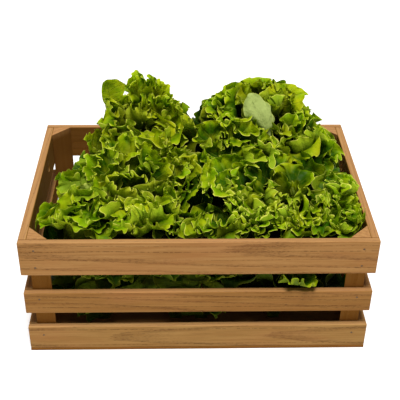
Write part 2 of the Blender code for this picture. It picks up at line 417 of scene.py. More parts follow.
OTHER_TINT = (0.97, 0.93, 0.88)
LEVEL_TINT = {"top": (0.96, 0.96, 0.97), "middle": (0.77, 0.73, 0.60), "bottom": (0.86, 0.92, 0.86)}
LEVEL_LINES = {
    "top": ((0.72, 0.018), (0.88, 0.010), (0.47, 0.010)),
    "middle": ((0.76, 0.024), (0.28, 0.020)),
    "bottom": ((0.86, 0.022), (0.13, 0.018)),
}
boards = slats + [name for name in nodes if name.startswith(("post_", "floor_board_"))]
for seed, node in enumerate(sorted(boards)):
    rng = np.random.default_rng(100 + seed)
    log_middle = (rng.choice((-1, 1)) * rng.uniform(0.03, 0.07), rng.uniform(-0.03, 0.03))
    tilt = (rng.uniform(-0.05, 0.05), rng.uniform(-0.04, 0.04))
    level = node.rsplit("_", 1)[-1]
    tint = LEVEL_TINT.get(level, OTHER_TINT)
    lines = LEVEL_LINES.get(level, ())
    ring = rng.uniform(0.0045, 0.008)
    put_on(node, wood_material(node, grain_axis(node), seed, log_middle, tilt, ring, tint, lines))
print(len(boards), "boards have their own wood")

# %% [markdown]
# ## Brads
#
# Small wire nails, gone dull and a little rusty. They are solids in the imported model, so they only need
# their finish: patches of rust, which are rougher and no longer metal.

# %% Brad material
material, tree = new_material("dull_steel")
place = add(tree, "TexCoord", output="Object")
rust = noise(tree, place, 900.0, 3.0).step(0.45, 0.62)
steel = add(tree, "BsdfPrincipled", {}, {
    "Base Color": blend(tree, rust, (0.130, 0.080, 0.040), (0.090, 0.044, 0.018)),
    "Metallic": 0.10 - rust * 0.1,
    "Roughness": 0.60 + rust * 0.3,
})
finish_material(tree, steel)
brads = [node for node in nodes if node.startswith("brad_")]
for node in brads:
    put_on(node, material)
print(len(brads), "brads")

# %% [markdown]
# ## A lettuce leaf
#
# A leaf of lettuce grows faster at its margin than in its middle, so the margin is far too long for its
# outline and has to fold into frills: wide waves that reach far in, and finer ones along the very edge. A
# Displace modifier only moves a sheet up and down, so it gives ripples and never a fold. Here each wave
# is a meander: the margin turns left and right by an angle that swings like a sine. Past a quarter turn
# it doubles back on itself, as real frills do. The wave dies away inwards.
#
# The sheet starts as a grid. One side of the grid becomes the midrib, folded in half, and the other goes
# round the margin from the foot of the leaf over its tip and back.

# %% Lines of smooth noise
def swings(rng, count, number):
    """A smooth random line of `count` samples with about `number` swings, between -1 and 1."""
    number = max(2, int(number))
    knots = rng.uniform(-1, 1, number + 3)
    at = np.linspace(0, number, count)
    low = at.astype(int)
    part = at - low
    part = part * part * (3 - 2 * part)
    return knots[low] * (1 - part) + knots[low + 1] * part


def smooth(value):
    """0 up to 0, 1 from 1 on, and an even S between."""
    value = np.clip(value, 0, 1)
    return value * value * (3 - 2 * value)


# %% The flat leaf
def margin_line(count, length, width):
    """Evenly spaced points round the margin, and its length."""
    turn = np.linspace(-pi, pi, 2001)
    from_tip = np.abs(turn) / pi
    y = length * (0.5 + 0.5 * np.cos(turn)) ** 0.62
    x = np.sin(turn) * width * 0.52 * (1 - 0.30 * from_tip**2)
    x = np.sign(turn) * np.maximum(np.abs(x), 0.009 * from_tip)
    run = np.concatenate([[0], np.cumsum(np.hypot(np.diff(x), np.diff(y)))])
    even = np.linspace(0, run[-1], count)
    return np.interp(even, run, x), np.interp(even, run, y), run[-1]


def flat_leaf(rows, columns, length, width):
    """Points of the flat leaf, row by row from the midrib out, and each column's share of the way up it."""
    margin_x, margin_y, around = margin_line(columns, length, width)
    up = 1 - np.abs(np.linspace(-1, 1, columns))
    rib = np.clip(margin_y * 0.86 - 0.10 * length * np.sin(pi * up), 0.0, 0.86 * length)
    out = 1 - (1 - np.linspace(0, 1, rows)) ** 1.45
    flat = np.zeros((rows, columns, 3))
    flat[..., 0] = out[:, None] * margin_x
    flat[..., 1] = rib + (margin_y - rib) * out[:, None]
    return flat, up, out[:, None], around


print(f"a leaf 100 mm long and wide has {1000 * margin_line(101, 0.1, 0.1)[2]:.0f} mm of margin")

# %% The frills
DRIFT_WINDOW = 0.13
ROLL_BAND = 0.030


def mean_of_meander(angle):
    """How far a meander of that largest angle gets along its line, for each unit of its length."""
    q = angle * angle / 4
    return 1 - q + q**2 / 4 - q**3 / 36 + q**4 / 576


def without_drift(rows, window):
    """Takes a moving average away from each row."""
    wide = np.pad(rows, ((0, 0), (window, window)), mode="reflect", reflect_type="odd")
    kernel = np.hanning(2 * window + 1)
    kernel /= kernel.sum()
    return rows - np.stack([np.convolve(row, kernel, mode="valid") for row in wide])


def frilled_leaf(rng, rows, columns, length, width, frills, curl):
    """Points of a leaf with a frilled margin. Each frill is (wavelength, how far in it reaches, largest
    angle), and `curl` is how far the margin rolls over."""
    flat, up, out, around = flat_leaf(rows, columns, length, width)
    inward = np.linalg.norm(flat[-1:] - flat, axis=-1)
    leafy = smooth((up - 0.05) / 0.22)
    step = np.zeros((rows, columns))
    step[:, 1:] = np.linalg.norm(np.diff(flat, axis=1), axis=-1)
    angle = np.zeros((rows, columns))
    mean = np.ones((rows, columns))
    for wave, reach, steepest in frills:
        drift = np.cumsum(1 + 0.4 * swings(rng, columns, around / wave))
        phase = 2 * pi * around / wave * drift / drift[-1] + rng.uniform(0, 2 * pi)
        swell = 0.75 + 0.25 * swings(rng, columns, around / wave)
        slant = 1.6 * swings(rng, columns, around / wave * 0.5)
        size = steepest * np.exp(-((inward / reach) ** 1.2)) * leafy * swell * np.clip(out / 0.3, 0, 1)
        angle += size * np.sin(phase + slant * inward / reach)
        mean *= mean_of_meander(size)
    window = int(DRIFT_WINDOW / around * columns)
    along = without_drift(np.cumsum(np.cos(angle) / mean * step - step, 1), window)
    lift = without_drift(np.cumsum(np.sin(angle) / mean * step, 1), window)
    tangent = np.gradient(flat, axis=1)
    tangent /= np.maximum(np.linalg.norm(tangent, axis=-1, keepdims=True), 1e-9)
    outward = np.stack([tangent[..., 1], -tangent[..., 0], np.zeros((rows, columns))], -1)
    outward *= np.sign((outward * (flat[-1] - flat[0])).sum(-1, keepdims=True))
    beyond = np.maximum(0.0, ROLL_BAND - inward)
    rolled = curl * (0.2 + swings(rng, columns, around / 0.045)) * (beyond / ROLL_BAND) ** 1.3 * leafy
    rise = lift * np.cos(rolled) + beyond * np.sin(rolled)
    push = beyond * np.cos(rolled) - lift * np.sin(rolled) - beyond
    leaf = flat + along[..., None] * tangent + push[..., None] * outward
    leaf[..., 2] += rise
    leaf[0] = 0.5 * (leaf[0] + leaf[0, ::-1] * (-1, 1, 1))
    return leaf


print(f"a margin that swings by 100 degrees gets {mean_of_meander(radians(100)):.2f} of its length forward")

# %% [markdown]
# The flat sheet is then given its stance. An armature could bend it, but two points and a few angles say
# more: its foot on the stem and the place its tip reaches. The midrib runs between them along an arc that
# droops towards the tip, and the blade cups round it.

# %% Stance of a leaf
MIDRIB_SAMPLES = 131
PAST_THE_TIP = 1.3


def stand(leaf, length, lean, bend, cup, twist=0.0):
    """Bends a leaf that lies along +Y. `lean` is the midrib's angle above the ground at its foot, `bend` is
    how much that angle has grown by the tip, and `cup` is the radius of the hollow across it."""
    x, y, z = leaf[..., 0], leaf[..., 1], leaf[..., 2]
    share = np.linspace(0, PAST_THE_TIP, MIDRIB_SAMPLES)
    angle = lean + bend * share**1.4
    run = np.concatenate([[0], np.cumsum(np.cos(angle))[:-1]]) * length * share[1]
    rise = np.concatenate([[0], np.cumsum(np.sin(angle))[:-1]]) * length * share[1]
    at = np.clip(y / length, 0, PAST_THE_TIP)
    here = np.interp(at, share, angle)
    wrap = x / cup + twist * at
    sideways = cup * np.sin(x / cup) - z * np.sin(wrap)
    inward = cup * (1 - np.cos(x / cup)) + z * np.cos(wrap)
    out = np.interp(at, share, run) - inward * np.sin(here)
    up = np.interp(at, share, rise) + inward * np.cos(here)
    return np.stack([out, sideways, up], -1)


def turned(points, azimuth):
    """Points turned about the vertical."""
    c, s = cos(azimuth), sin(azimuth)
    return points @ np.array([[c, s, 0], [-s, c, 0], [0, 0, 1]])


# %% [markdown]
# The crate holds the leaves in. A physics simulation would find that out, but slowly and with some leaves
# through the gaps. Here a leaf that would get past the slats, the posts or the floor is pressed flat
# against them. Above the rim leaves lean out a little on the right, and less towards the front. On the
# left they leave a part of the back corner free.

# %% Pressed into the crate
WALL_GAP = 0.0015
LEAN_OUT_RIGHT = 0.018
TOP_MARGIN = 0.015
SIDE_ROOM = 0.020
FRONT_ROOM = 0.012
TOP_ROOM = 0.008
RIM_EASE = 0.022


def pressed(value, limit, room):
    """Eases values into the last bit of `room` before a limit, so that none goes past it."""
    start = limit - room
    over = np.maximum(value - start, 0)
    return np.where(value > start, start + room * (1 - np.exp(-over / room)), value)


def left_limit(y):
    """How far leaves reach to the left. It steps back twice towards the back corner."""
    return INNER_X - WALL_GAP - 0.045 * smooth((y + 0.09) / 0.12) - 0.033 * smooth((y - 0.015) / 0.04)


def held_by_crate(points):
    """Points pressed in by the walls, by the sawn faces of the posts, by the floor and at the top."""
    x, y, z = points[..., 0], points[..., 1], points[..., 2]
    above = smooth((z - RIM) / RIM_EASE)
    right = INNER_X - WALL_GAP + above * LEAN_OUT_RIGHT * smooth((y + 0.120) / 0.05)
    wall = INNER_Y - WALL_GAP
    x = np.where(x > 0, pressed(x, right, SIDE_ROOM), -pressed(-x, left_limit(y), SIDE_ROOM))
    y = np.where(y > 0, pressed(y, wall, SIDE_ROOM), -pressed(-y, wall, FRONT_ROOM))
    corner = INNER_X + INNER_Y - POST_LEG - 3 * WALL_GAP
    over = np.maximum(np.abs(x) + np.abs(y) - corner, 0) * (1 - above) / 2
    x = x - np.sign(x) * over
    y = y - np.sign(y) * over
    z = pressed(z, cad_high[2] + TOP_MARGIN, TOP_ROOM)
    return np.stack([x, y, np.maximum(z, FLOOR + WALL_GAP)], -1)


print(f"leaves reach at most {INNER_X - WALL_GAP + LEAN_OUT_RIGHT:.4f} to the right")

# %% [markdown]
# ## The heap
#
# Four heads fill the crate and their leaves make one heap. A surface says how high it is everywhere, so
# that leaves can be made long enough for their tips to reach it, and shaded by how deep they lie under
# it. It is low along the front and rises towards the back, with a crown at the back left, a broad dome at
# the back right, and a fall towards either end.

# %% Surface of the heap
def heap_height(x, y):
    """Height of the heap: a slope, a crown, a dome, and a fall towards both ends and the back."""
    back = smooth((y + 0.15) / 0.21)
    height = 0.186 + 0.062 * back - 0.030 * smooth((y - 0.095) / 0.05)
    height += 0.014 * np.exp(-(((x + 0.078) / 0.040) ** 2) - ((y - 0.075) / 0.040) ** 2)
    height += 0.042 * np.exp(-(((x - 0.085) / 0.060) ** 2) - ((y - 0.075) / 0.050) ** 2)
    height -= 0.050 * smooth((-x - 0.135) / 0.08) * back
    height -= 0.045 * smooth((x - 0.140) / 0.07) * back
    return height


print(f"heap {heap_height(0.0, -0.12):.3f} high in front and {heap_height(0.085, 0.075):.3f} on the dome")

# %% [markdown]
# ## Leaf material
#
# The blade is yellow-green, deeper towards the midrib, and the thin rim is painted almost yellow, a painted
# glow for the light that gets through it. The underside is paler and greyer. Veins branch from the midrib.
# Subsurface scattering is meant for thick things, so the light that comes through a leaf, which is what
# makes it look alive, is a Translucent shader mixed in. Two values are kept at each point of a leaf:
# `tone`, how yellow it is, and a painted shade, which darkens a point by how far under the heap it lies,
# for the shade that falls between the leaves. A tone over 1.2 also makes the underside pale, for the
# leaves that show it.

# %% Colours of a leaf
LEAF_DEEP_GREEN_AND_SHADED = (0.042, 0.122, 0.0006)
LEAF_FRESH = (0.272, 0.448, 0.0016)
LEAF_YELLOW = (0.52, 0.52, 0.008)
LEAF_RIM_GLOW = (0.78, 0.78, 0.110)
LEAF_UNDER = (0.345, 0.440, 0.026)
LEAF_PALE = (0.440, 0.530, 0.150)
LEAF_VEIN = (0.34, 0.43, 0.040)
LEAF_GLOW = (0.74, 1.00, 0.020)
LEAF_SHADED = (0.005, 0.022, 0.0003)
LEAF_THROUGH = 0.28

# %% Leaf material
def leaf_material():
    """The one material of all leaves. It reads each leaf's UV map and its two values."""
    material, tree = new_material("lettuce_leaf")
    place = add(tree, "TexCoord", output="Object")
    uv = add(tree, "UVMap", {"uv_map": "leaf"})
    out = add(tree, "SeparateXYZ", {}, {"Vector": uv}, output=1)
    tone = add(tree, "Attribute", {"attribute_name": "tone"}, output="Fac")
    heap_shade = add(tree, "Attribute", {"attribute_name": "heap_shade"}, output="Fac")
    under = add(tree, "NewGeometry", output="Backfacing")

    patches = noise(tree, place, 45.0, 3.0)
    blisters = noise(tree, place, 140.0, 2.0)
    fine = noise(tree, place, 420.0, 3.0)
    ribs = add(tree, "TexWave", {"wave_type": "BANDS", "bands_direction": "X"}, {
        "Vector": mapped(tree, uv, scale=(1.0, 0.05, 1.0)),
        "Scale": 6.0, "Distortion": 1.5, "Detail": 2.0, "Detail Scale": 2.0,
    })
    vein = ribs.step(0.88, 1.0) * out.step(0.95, 0.45) + out.step(0.04, 0.0)

    # painted shade also pulls points that lie deep in the heap towards the dark green
    fresh_and_unshaded = out.step(0.15, 1.0) * 1.05 + patches * 0.70 + blisters * 0.50 + tone - 1.10 - heap_shade * 0.8
    colour = blend(tree, fresh_and_unshaded.math("ADD", 0.0, clamp=True), LEAF_DEEP_GREEN_AND_SHADED, LEAF_FRESH)
    sunned = (patches - 0.46) * 2.2 + (tone - 0.55) * 1.3 + out.step(0.5, 1.0) * 0.28
    colour = blend(tree, sunned.math("ADD", 0.0, clamp=True), colour, LEAF_YELLOW)
    colour = blend(tree, vein * 0.25, colour, LEAF_VEIN)
    colour = blend(tree, under * 0.42, colour, LEAF_UNDER)
    pale = under * tone.step(1.2, 1.5)
    colour = blend(tree, pale, colour, LEAF_PALE)
    # painted light: the bright rim stands for the light that shines through the thin margin
    colour = blend(tree, out.step(0.95, 0.985) * (0.62 + fine * 0.8), colour, LEAF_RIM_GLOW)
    # painted shade: points deep under the heap are darkened
    colour = blend(tree, heap_shade, colour, LEAF_SHADED)
    relief = patches * 0.3 + blisters * 0.6 + fine * 0.12 - vein * (0.3 - pale * 0.24)
    bump = bumped(tree, relief, 0.0040, 0.8)
    surface = add(tree, "BsdfPrincipled", {}, {
        "Base Color": colour,
        "Roughness": 0.38 + fine * 0.20,
        "Normal": bump,
        "IOR": 1.16,
    })
    glow = add(tree, "BsdfTranslucent", {}, {
        "Color": blend(tree, 0.8, colour, LEAF_GLOW, "MULTIPLY"),
        "Normal": bump,
    })
    both = add(tree, "MixShader", {}, {0: LEAF_THROUGH, 1: surface, 2: glow})
    finish_material(tree, both)
    return material


leaf_green = leaf_material()
print(len(leaf_green.node_tree.nodes), "nodes in the leaf material")

# %% [markdown]
# Leaves are made one at a time from a grid that the bmesh operator makes, with the grid's layout as their
# UV map: across it runs the way round the margin, and up it runs the way out from the midrib. Instances
# of a few leaves would be lighter, but the same leaf would be seen again and again.

# %% One leaf as an object
HEAP_SHADE_MOST = 0.94
HEAP_SHADE_FROM = 0.005
HEAP_SHADE_OVER = 0.052
MERGE_DISTANCE = 1e-5


def leaf_object(name, points, tone, heap_shade_weight=1.0):
    """A leaf from its points, darkened with painted shade where it lies deep under the heap; the last
    argument is how much of that shade it takes.
    """
    points = points[:, ::-1]
    rows, columns = points.shape[:2]
    bm = bmesh.new()
    bm.loops.layers.uv.new("leaf")
    bmesh.ops.create_grid(bm, x_segments=columns - 1, y_segments=rows - 1, size=1.0, calc_uvs=True)
    leaf = new_object(name, bm)
    leaf.data.vertices.foreach_set("co", points.reshape(-1).astype(np.float32))
    shade = leaf.data.attributes.new("tone", "FLOAT", "POINT")
    shade.data.foreach_set("value", np.full(rows * columns, tone, np.float32))
    # painted shade: each point is darkened by how far it lies under the surface of the heap
    under = heap_height(points[..., 0], points[..., 1]) - points[..., 2]
    heap_shade_amount = heap_shade_weight * HEAP_SHADE_MOST * smooth((under + HEAP_SHADE_FROM) / HEAP_SHADE_OVER)
    heap_shade = leaf.data.attributes.new("heap_shade", "FLOAT", "POINT")
    heap_shade.data.foreach_set("value", heap_shade_amount.reshape(-1).astype(np.float32))
    leaf.data.materials.append(leaf_green)
    leaf.data.shade_smooth()
    return leaf


def joined(leaves, name):
    """Several leaves as one piece, with the two halves of each midrib merged."""
    first = leaves[0]
    with bpy.context.temp_override(active_object=first, selected_editable_objects=leaves, object=first):
        bpy.ops.object.join()
    first.name = name
    first.data.name = name
    bm = bmesh.new()
    bm.from_mesh(first.data)
    bmesh.ops.remove_doubles(bm, verts=bm.verts, dist=MERGE_DISTANCE)
    bm.to_mesh(first.data)
    bm.free()
    return first


# %% [markdown]
# Leaves come in several kinds, each with two or three sizes of frill: tightly curled, wavy, plainer with
# few frills, a round lobe that is nearly smooth, a smooth one for a folded leaf, and the coarse, large
# leaves of a head's skirt.

# %% Leaf kinds
CURLY = ((0.055, 0.040, 0.90), (0.0150, 0.0135, 1.75), (0.0065, 0.004, 1.00))
WAVY = ((0.065, 0.045, 1.00), (0.0195, 0.0160, 1.60), (0.0080, 0.005, 1.05))
PLAIN = ((0.080, 0.045, 0.90), (0.0260, 0.0150, 1.30), (0.0090, 0.005, 1.05))
LOBE = ((0.060, 0.030, 0.50), (0.0150, 0.0050, 0.70), (0.0060, 0.002, 0.70))
ROUND = ((0.050, 0.030, 0.40), (0.0120, 0.0040, 0.40))
FOLDED = ((0.060, 0.030, 0.60), (0.0220, 0.0040, 0.80))
SKIRT = ((0.080, 0.035, 0.80), (0.0300, 0.012, 1.10))
GOLDEN = radians(137.5)
ROWS = 12
FINE = 481
MEDIUM = 321
COARSE = 161
print(ROWS * FINE, "points in a finely frilled leaf")

# %% [markdown]
# A leaf is placed by its foot and its tip. Its length follows from the chord between them and from how
# much it droops, so a leaf always reaches the place it is meant for.

# %% A leaf in its place
PROUD = 0.022


def placed_leaf(rng, foot, tip, azimuth, droop, width, cup, frills, curl, columns=FINE):
    """A leaf from its foot to its tip, held by the crate. Its upper face looks away from its azimuth."""
    way = np.subtract(tip, foot)
    reach = float(way[0] * cos(azimuth) + way[1] * sin(azimuth))
    aside = float(way[1] * cos(azimuth) - way[0] * sin(azimuth))
    height = float(np.hypot(way[2], aside))
    chord = float(np.hypot(reach, height))
    lean = atan2(height, reach) + 0.417 * droop
    length = chord * (1 + droop * droop / 24)
    flat = frilled_leaf(rng, ROWS, columns, length, width, frills, curl)
    points = stand(flat, length, lean, -droop, cup, rng.uniform(-0.3, 0.3))
    points = points @ np.array(Matrix.Rotation(-atan2(aside, way[2]), 3, "X")).T
    return held_by_crate(turned(points, azimuth) + foot)


def inside_crate(place):
    """A point moved, if it must be, to where a tip may lie."""
    x, y = place
    x = float(np.clip(x, 0.004 - left_limit(y), INNER_X + 0.006))
    return x, float(np.clip(y, 0.008 - INNER_Y, INNER_Y - 0.008))


def below_surface(points):
    """Heights of a leaf kept close to the surface of the heap where the leaf would stand out of it."""
    surface = heap_height(points[..., 0], points[..., 1])
    over = np.maximum(points[..., 2] - surface, 0)
    return np.where(over > 0, surface + PROUD * (1 - np.exp(-over / PROUD)), points[..., 2])


# %% [markdown]
# ## Heads
#
# A head is a stem with leaves all the way round it. The outer leaves start low and lie out towards the
# walls, and the inner ones start higher and stand up. Leaves could be scattered over the heap at random,
# but then they would have no head to belong to when it is lifted out. So each leaf is turned on by the
# golden angle from the one below it, as it grows. Under them all lies a skirt of large, coarse leaves.

# %% Skirt and ordinary leaves
def skirt_leaves(rng, stem, cell, number, drop, tone):
    """Large outermost leaves, which lie low between the heads and against the walls."""
    leaves = []
    for azimuth in np.arange(number) * 2 * pi / number + rng.uniform(0, 1):
        away = np.array((cos(azimuth), sin(azimuth)))
        tip = inside_crate(stem[:2] + away * cell * rng.uniform(0.95, 1.2))
        foot = (*(stem[:2] + away * 0.012), stem[2] * 0.5)
        tip = (*tip, float(heap_height(*tip)) - rng.uniform(*drop))
        points = placed_leaf(rng, foot, tip, azimuth, radians(60), 0.150, 0.15, SKIRT, 0.7, COARSE)
        leaves.append((points, tone, 0.82))
    return leaves


def head_leaves(rng, stem, cell, number, width, kinds, tone, missing):
    """The ordinary leaves of one head, from the outside in, without the ones that broke off."""
    leaves = []
    first = rng.uniform(0, 2 * pi)
    for index in range(number):
        inner = index / (number - 1)
        azimuth = first + index * GOLDEN + rng.uniform(-0.25, 0.25)
        away = np.array((cos(azimuth), sin(azimuth)))
        reach = away * cell * (1 - inner) ** 0.62 * rng.uniform(0.9, 1.12) + away * 0.008
        tip = inside_crate(stem[:2] + reach)
        foot = (*(stem[:2] + away * (0.012 - 0.006 * inner)), stem[2] + 0.055 * inner)
        tip = (*tip, float(heap_height(*tip)) + rng.uniform(-0.014, 0.008))
        droop = radians(75 - 55 * inner + rng.uniform(-15, 15) - 35 * min(0.0, sin(azimuth)))
        wide = width * (1.10 - 0.25 * inner) * rng.uniform(0.88, 1.14)
        frills = kinds[int(rng.integers(len(kinds)))]
        cup = (0.075 - 0.035 * inner) * rng.uniform(0.85, 1.4)
        columns = MEDIUM if inner < 0.35 else FINE
        curl = rng.uniform(0.5, 1.2)
        points = placed_leaf(rng, foot, tip, azimuth, droop, wide, cup, frills, curl, columns)
        points[..., 2] = below_surface(points)
        leaf_tone = tone + 0.22 * (inner - 0.5) + rng.uniform(-0.15, 0.15)
        if index not in missing:
            leaves.append((points, leaf_tone))
    return leaves


# %% [markdown]
# Some leaves stand out and give the heap its outline: a crown and a round lobe at the back left, a folded
# leaf with its pale underside up and a star of a leaf at the right, and cups at the front left. No rule
# of growth puts a leaf just there, so these are set one by one, in metres and degrees.

# %% Leaves that stand out
# tip, foot, the way its back faces, droop, width, cup, frills, tone, curl, how much painted shade it takes
# when deep
STANDING = {
    "head_back_left": (
        ((-0.071, 0.078, 0.303), (-0.074, 0.084, 0.190), 84, -4, 0.058, 0.070, WAVY, 0.66, 0.8, 0.5),
        ((-0.084, 0.076, 0.294), (-0.080, 0.082, 0.190), 95, -4, 0.034, 0.060, WAVY, 0.66, 0.6, 0.5),
        ((-0.058, 0.074, 0.291), (-0.066, 0.080, 0.190), 70, -2, 0.042, 0.060, WAVY, 0.66, 0.8, 0.5),
        ((-0.1285, 0.080, 0.291), (-0.1200, 0.078, 0.244), 93, 4, 0.058, 0.070, ROUND, 0.95, 0.4, 0.0),
        ((-0.139, 0.070, 0.262), (-0.104, 0.072, 0.200), 150, 30, 0.045, 0.040, WAVY, 0.70, 0.9, 0.4),
        ((-0.040, 0.062, 0.272), (-0.066, 0.070, 0.170), 60, 15, 0.060, 0.045, CURLY, 0.64, 0.9, 0.7),
        ((-0.016, 0.050, 0.262), (-0.055, 0.060, 0.150), 30, 35, 0.080, 0.050, CURLY, 0.70, 0.9, 0.7),
        ((-0.008, 0.012, 0.242), (-0.060, 0.050, 0.150), 330, 100, 0.080, 0.060, WAVY, 0.62, 0.9, 0.8),
        ((-0.165, 0.030, 0.222), (-0.095, 0.050, 0.150), 175, 40, 0.060, 0.030, WAVY, 0.72, 0.5, 0.7),
        ((-0.086, -0.016, 0.226), (-0.080, 0.050, 0.150), 268, 115, 0.085, 0.060, WAVY, 0.85, 0.9, 0.7),
        ((-0.046, 0.004, 0.236), (-0.070, 0.056, 0.150), 290, 110, 0.075, 0.050, WAVY, 0.88, 0.9, 0.7),
        ((-0.048, 0.072, 0.286), (-0.062, 0.078, 0.190), 72, 0, 0.050, 0.060, WAVY, 0.72, 0.7, 0.5),
    ),
    "head_back_right": (
        ((0.018, 0.062, 0.268), (0.060, 0.070, 0.160), 165, 30, 0.060, 0.040, CURLY, 0.50, 0.9, 0.7),
        ((0.016, 0.034, 0.250), (0.030, -0.004, 0.140), 100, 20, 0.085, 0.050, WAVY, 0.62, 0.9, 0.6),
        ((0.048, 0.034, 0.256), (0.056, -0.004, 0.140), 84, 20, 0.085, 0.050, CURLY, 0.60, 0.9, 0.6),
        ((0.034, 0.012, 0.236), (0.040, -0.020, 0.130), 95, 20, 0.085, 0.050, WAVY, 0.55, 0.9, 0.6),
        ((0.028, 0.068, 0.276), (0.068, 0.074, 0.160), 140, 25, 0.060, 0.040, CURLY, 0.45, 0.9, 0.8),
        ((0.046, 0.072, 0.286), (0.074, 0.078, 0.160), 110, 15, 0.065, 0.040, CURLY, 0.50, 0.9, 0.7),
        ((0.106, 0.084, 0.299), (0.098, 0.088, 0.165), 85, 2, 0.066, 0.060, WAVY, 0.66, 0.7, 0.5),
        ((0.130, 0.082, 0.284), (0.105, 0.086, 0.165), 60, 5, 0.070, 0.060, PLAIN, 0.62, 0.7, 0.5),
        ((0.136, 0.072, 0.276), (0.105, 0.078, 0.160), 50, 20, 0.070, 0.050, PLAIN, 0.55, 0.8, 0.6),
        ((0.166, 0.058, 0.246), (0.110, 0.065, 0.140), 20, 45, 0.065, 0.040, CURLY, 0.45, 0.9, 0.8),
        ((0.070, 0.040, 0.287), (0.110, 0.016, 0.208), 283, -10, 0.036, 0.060, FOLDED, 1.50, 0.3, 0.0),
        ((0.130, -0.016, 0.212), (0.132, 0.042, 0.165), 272, 100, 0.100, 0.100, WAVY, 0.78, 0.8, 0.3),
        ((0.176, 0.014, 0.222), (0.130, 0.040, 0.160), 330, 80, 0.085, 0.080, WAVY, 0.55, 0.8, 0.5),
        ((0.142, 0.030, 0.258), (0.118, 0.050, 0.150), 60, 15, 0.060, 0.028, WAVY, 0.50, 0.8, 0.9),
        ((0.203, 0.020, 0.200), (0.120, 0.040, 0.120), -15, 60, 0.080, 0.060, CURLY, 0.42, 0.9, 0.9),
        ((0.124, 0.064, 0.288), (0.114, 0.068, 0.200), 82, 4, 0.072, 0.060, PLAIN, 0.72, 0.6, 0.3),
    ),
    "head_front_left": (
        ((-0.182, -0.064, 0.186), (-0.095, -0.020, 0.130), 205, 60, 0.105, 0.034, PLAIN, 0.50, 0.6, 0.7),
        ((-0.155, -0.062, 0.202), (-0.110, -0.052, 0.160), 265, 10, 0.036, 0.050, LOBE, 1.35, 0.2, 0.0),
        ((-0.182, -0.062, 0.208), (-0.108, -0.004, 0.228), 218, 62, 0.090, 0.090, PLAIN, 0.38, 0.5, 0.1),
        ((-0.180, -0.110, 0.192), (-0.156, -0.120, 0.110), 195, 25, 0.092, 0.022, PLAIN, 0.56, 0.4, 0.5),
        ((-0.168, -0.122, 0.190), (-0.150, -0.112, 0.100), 250, 15, 0.070, 0.030, PLAIN, 0.60, 0.6, 0.6),
        ((-0.140, -0.098, 0.190), (-0.095, -0.070, 0.060), 225, 20, 0.095, 0.025, PLAIN, 0.66, 0.7, 0.8),
        ((-0.046, 0.000, 0.226), (-0.040, -0.060, 0.120), 110, 12, 0.090, 0.045, PLAIN, 0.42, 0.7, 0.8),
        ((0.002, -0.010, 0.226), (-0.015, -0.065, 0.110), 80, 12, 0.090, 0.045, PLAIN, 0.40, 0.8, 0.8),
        ((0.004, -0.042, 0.204), (-0.010, -0.075, 0.110), 75, 15, 0.085, 0.045, PLAIN, 0.40, 0.8, 0.7),
        ((-0.018, -0.080, 0.190), (-0.040, -0.035, 0.130), 290, 115, 0.080, 0.050, WAVY, 0.50, 0.9, 0.8),
        ((0.008, -0.080, 0.190), (0.000, -0.104, 0.100), 80, 15, 0.075, 0.045, WAVY, 0.44, 0.9, 0.6),
        ((-0.026, -0.100, 0.184), (-0.030, -0.116, 0.090), 95, 10, 0.070, 0.045, PLAIN, 0.46, 0.9, 0.6),
    ),
    "head_front_right": (
        ((0.205, 0.000, 0.200), (0.125, -0.055, 0.100), 25, 50, 0.085, 0.050, CURLY, 0.45, 0.9, 0.8),
        ((0.216, -0.050, 0.192), (0.130, -0.070, 0.100), 5, 60, 0.085, 0.050, CURLY, 0.45, 0.9, 0.8),
        ((0.212, -0.100, 0.188), (0.130, -0.080, 0.090), -20, 60, 0.085, 0.050, CURLY, 0.45, 0.9, 0.8),
        ((0.210, -0.128, 0.184), (0.140, -0.090, 0.080), -40, 60, 0.085, 0.050, CURLY, 0.45, 0.9, 0.8),
        ((0.030, -0.080, 0.196), (0.080, -0.070, 0.100), 190, 80, 0.080, 0.050, WAVY, 0.50, 0.9, 0.8),
        ((0.056, -0.010, 0.232), (0.085, -0.060, 0.110), 120, 20, 0.080, 0.040, WAVY, 0.55, 0.8, 0.8),
    ),
}


def standing_leaves(rng, body):
    """The leaves of one head that are set one by one."""
    leaves = []
    for tip, foot, azimuth, droop, width, cup, frills, tone, curl, heap_shade_weight in STANDING[body]:
        points = placed_leaf(rng, foot, tip, radians(azimuth), radians(droop), width, cup, frills, curl)
        leaves.append((points, tone, heap_shade_weight))
    return leaves


print(sum(len(leaves) for leaves in STANDING.values()), "leaves set one by one")

# %% [markdown]
# Along the front the heap ends in a row of frills just behind the rim, where only the tips show. The
# ordinary leaves leave holes there, so the two front heads each get a row of leaves with their tips at
# the rim.

# %% Front row
ROW_STEP = 0.021
ROW_Y = -0.143


def front_row(rng, body, stem):
    """Leaves with their frills just behind the front rim, where only the tips show."""
    leaves = []
    start, end = (-0.190, 0.0) if body == "head_front_left" else (0.012, 0.205)
    for x in np.arange(start, end, ROW_STEP):
        tip_x = x + rng.uniform(-0.006, 0.006)
        tip = (tip_x, ROW_Y + rng.uniform(0, 0.010), RIM + rng.uniform(-0.002, 0.009))
        foot = (0.7 * tip[0] + 0.3 * stem[0], stem[1] + rng.uniform(-0.01, 0.02), 0.06)
        azimuth = radians(270 + rng.uniform(-30, 30))
        frills = PLAIN if x < -0.1 else (WAVY if x < 0.02 else CURLY)
        droop = radians(rng.uniform(60, 105))
        points = placed_leaf(rng, foot, tip, azimuth, droop, 0.085, 0.05, frills, rng.uniform(0.6, 1.1))
        leaves.append((points, rng.uniform(0.40, 0.62), 0.55))
    return leaves


# %% [markdown]
# A cut stem shows only when a head is lifted. A plain cone would look turned on a lathe, so a cone with
# rings of points along it gets shallow ridges, where leaves came away. Its flesh is milky green with
# brown stains.

